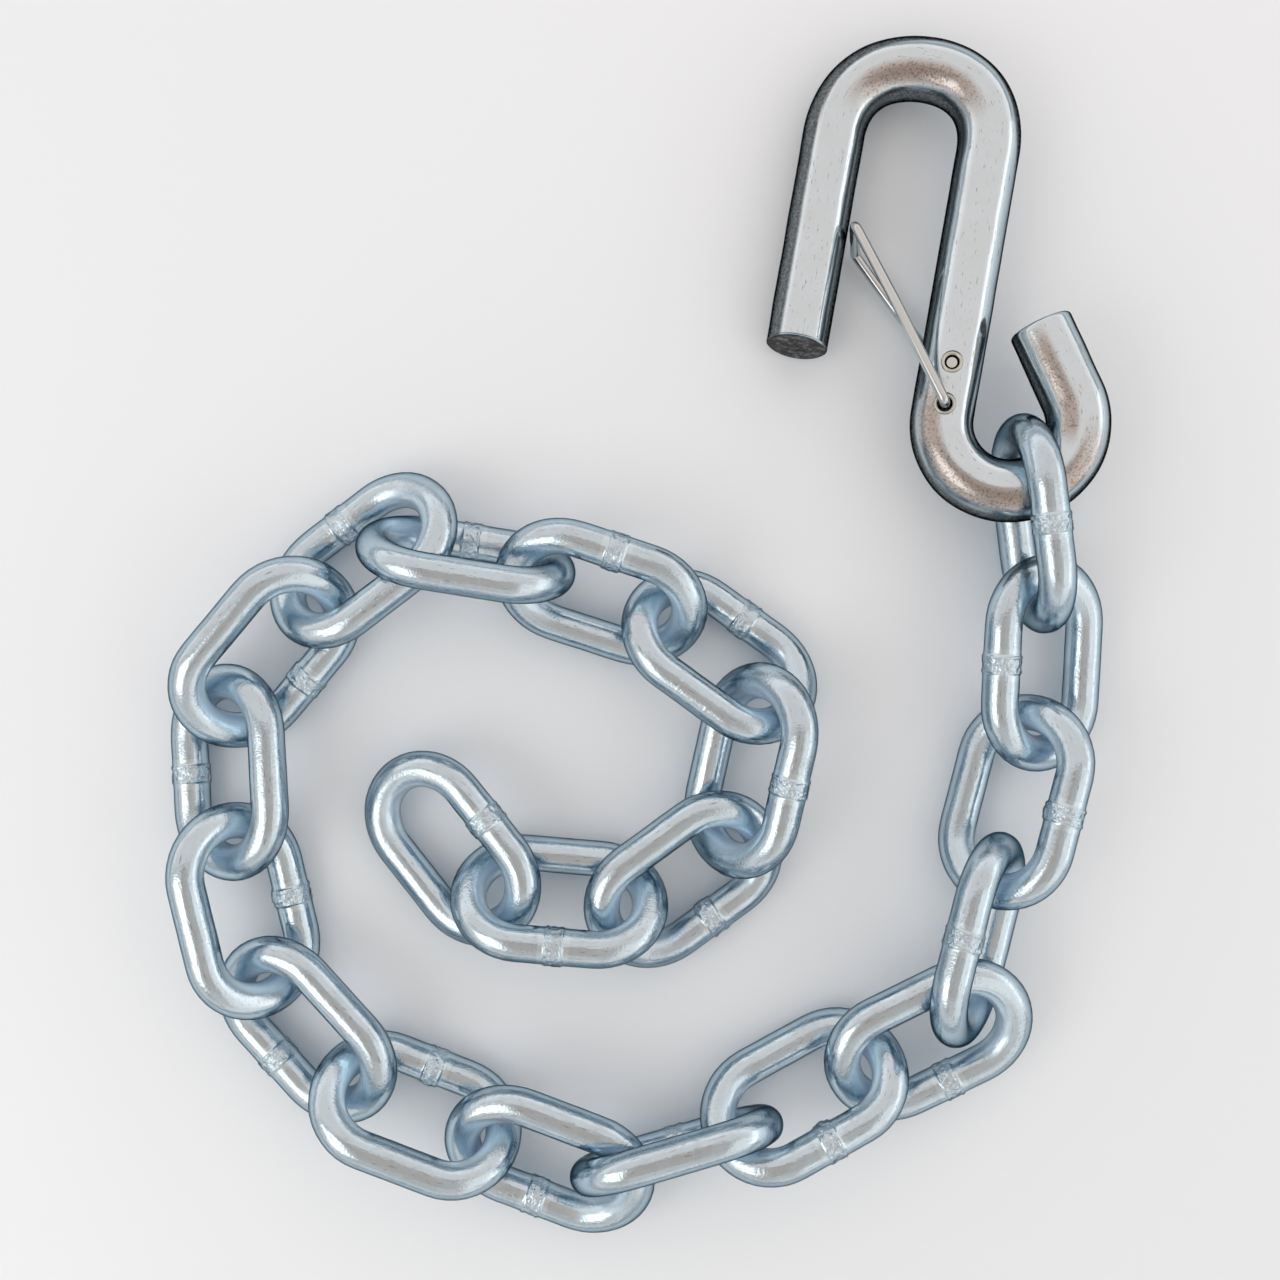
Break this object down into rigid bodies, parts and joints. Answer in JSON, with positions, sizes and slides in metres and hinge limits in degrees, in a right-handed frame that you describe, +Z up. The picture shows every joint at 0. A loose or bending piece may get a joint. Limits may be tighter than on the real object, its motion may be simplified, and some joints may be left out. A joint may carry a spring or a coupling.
{
  "type": "safety chain with hook",
  "caption": "Length of welded steel chain laid in a loose spiral, with a round-bar hook and spring-wire latch on its outer end.",
  "frame": {"origin": "on the floor, under the middle of the whole object's box as the chain lies", "axes": "+Z up from the floor; +Y from the middle of the spiral towards the hook's bend, along the longest side of the box; +X to the right of that, on the side where the hook lies"},
  "size_m": [0.1826, 0.2322, 0.0286],
  "materials": {
    "chain_zinc": "bright zinc plate with a cool blue tint, lightly speckled and scuffed",
    "hook_zinc": "bright zinc plate with warm patches, pitted and worn, sawn at the open end",
    "latch_wire_steel": "bright drawn spring wire"
  },
  "bodies": {
    "chain_and_hook": {"s_hook": "hook_zinc", "latch_foot": "latch_wire_steel", "link_01": "chain_zinc", "link_02": "chain_zinc", "link_03": "chain_zinc", "link_04": "chain_zinc", "link_05": "chain_zinc", "link_06": "chain_zinc", "link_07": "chain_zinc", "link_08": "chain_zinc", "link_09": "chain_zinc", "link_10": "chain_zinc", "link_11": "chain_zinc", "link_12": "chain_zinc", "link_13": "chain_zinc", "link_14": "chain_zinc", "link_15": "chain_zinc", "link_16": "chain_zinc", "link_17": "chain_zinc", "link_18": "chain_zinc", "link_19": "chain_zinc", "link_20": "chain_zinc", "link_21": "chain_zinc"},
    "latch": {"latch_wire": "latch_wire_steel"}
  },
  "joints": [
    {"name": "latch_swing", "type": "hinge", "parent": "chain_and_hook", "child": "latch", "pos_m": [0.05914, 0.04334, 0.01169], "axis": [0.1511, -0.0441, -0.9875], "range_deg": [0, 24], "stiffness_Nm_per_rad": 0.3, "springref_deg": -5.73}
  ]
}
